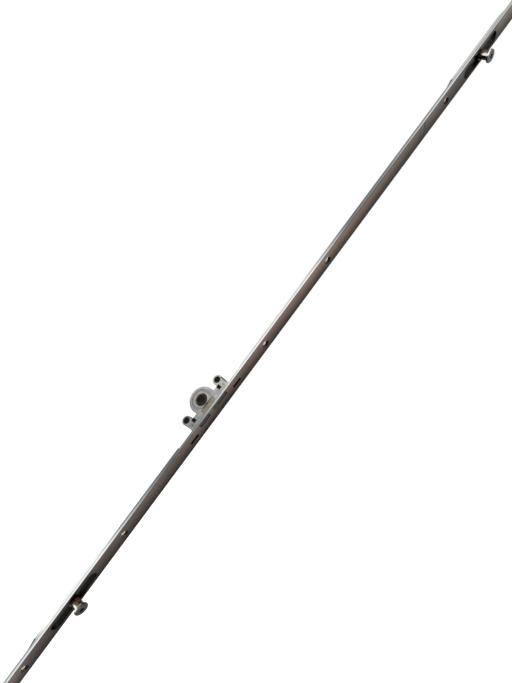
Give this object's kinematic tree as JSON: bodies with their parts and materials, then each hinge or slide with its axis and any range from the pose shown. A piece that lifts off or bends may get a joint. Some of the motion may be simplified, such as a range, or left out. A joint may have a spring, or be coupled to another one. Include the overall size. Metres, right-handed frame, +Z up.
{
  "type": "window espagnolette gearbox",
  "caption": "Window espagnolette: long flat faceplate with a rack gearbox turned by a square spindle, drive rods behind it and mushroom cams that slide in long slots.",
  "frame": {"origin": "on the spindle axis, halfway through the casing's thickness", "axes": "+Z up along the faceplate, +X out of the faceplate's front where the cams stand, -Y towards the handle's side"},
  "size_m": [0.0372, 0.016, 0.776],
  "materials": {
    "plate_steel": "zinc plated steel strip, satin, slightly cloudy",
    "casing_zinc": "matte grey zinc die casting",
    "black_plastic": "black plastic, matte",
    "gear_steel": "dark sintered steel, oiled",
    "rod_steel": "bright zinc plated steel",
    "rivet_steel": "plated steel, satin",
    "sleeve_steel": "bright turned steel",
    "stud_steel": "polished steel, bright",
    "roller_steel": "bright turned steel"
  },
  "bodies": {
    "frame": {"faceplate": "plate_steel", "casing_front": "casing_zinc", "casing_back": "casing_zinc", "guide_shoe_upper": "black_plastic", "guide_shoe_lower": "black_plastic", "screw_sleeves": "sleeve_steel"},
    "follower": {"drive_gear": "gear_steel"},
    "drive_rod": {"rack": "rod_steel", "rod_upper": "rod_steel", "rod_lower": "rod_steel", "rack_rivets": "rivet_steel", "carrier_rivets": "rivet_steel", "carrier_upper": "rod_steel", "carrier_lower": "rod_steel", "cam_washer_upper": "rivet_steel", "cam_washer_lower": "rivet_steel"},
    "stud_upper": {"cam_stud_upper": "stud_steel"},
    "stud_lower": {"cam_stud_lower": "stud_steel"},
    "roller_upper": {"cam_roller_upper": "roller_steel"},
    "roller_lower": {"cam_roller_lower": "roller_steel"}
  },
  "joints": [
    {"name": "rod_travel", "type": "slide", "parent": "frame", "child": "drive_rod", "axis": [0, 0, 1], "range_m": [-0.01602, 0.01602]},
    {"name": "spindle_turn", "type": "hinge", "parent": "frame", "child": "follower", "pos_m": [0, 0, 0], "axis": [0, -1, 0], "range_deg": [-90, 90]},
    {"name": "stud_lower_turn", "type": "hinge", "parent": "drive_rod", "child": "stud_lower", "pos_m": [0.0114, 0, -0.1894], "axis": [1, 0, 0], "continuous": true},
    {"name": "roller_lower_turn", "type": "hinge", "parent": "stud_lower", "child": "roller_lower", "pos_m": [0.019, 0, -0.1886], "axis": [1, 0, 0], "continuous": true},
    {"name": "stud_upper_turn", "type": "hinge", "parent": "drive_rod", "child": "stud_upper", "pos_m": [0.0114, 0, 0.4052], "axis": [1, 0, 0], "continuous": true},
    {"name": "roller_upper_turn", "type": "hinge", "parent": "stud_upper", "child": "roller_upper", "pos_m": [0.019, 0, 0.406], "axis": [1, 0, 0], "continuous": true}
  ],
  "couplings": [
    {"joint": "spindle_turn", "follows": "rod_travel", "rad_per_m": 98.039}
  ]
}
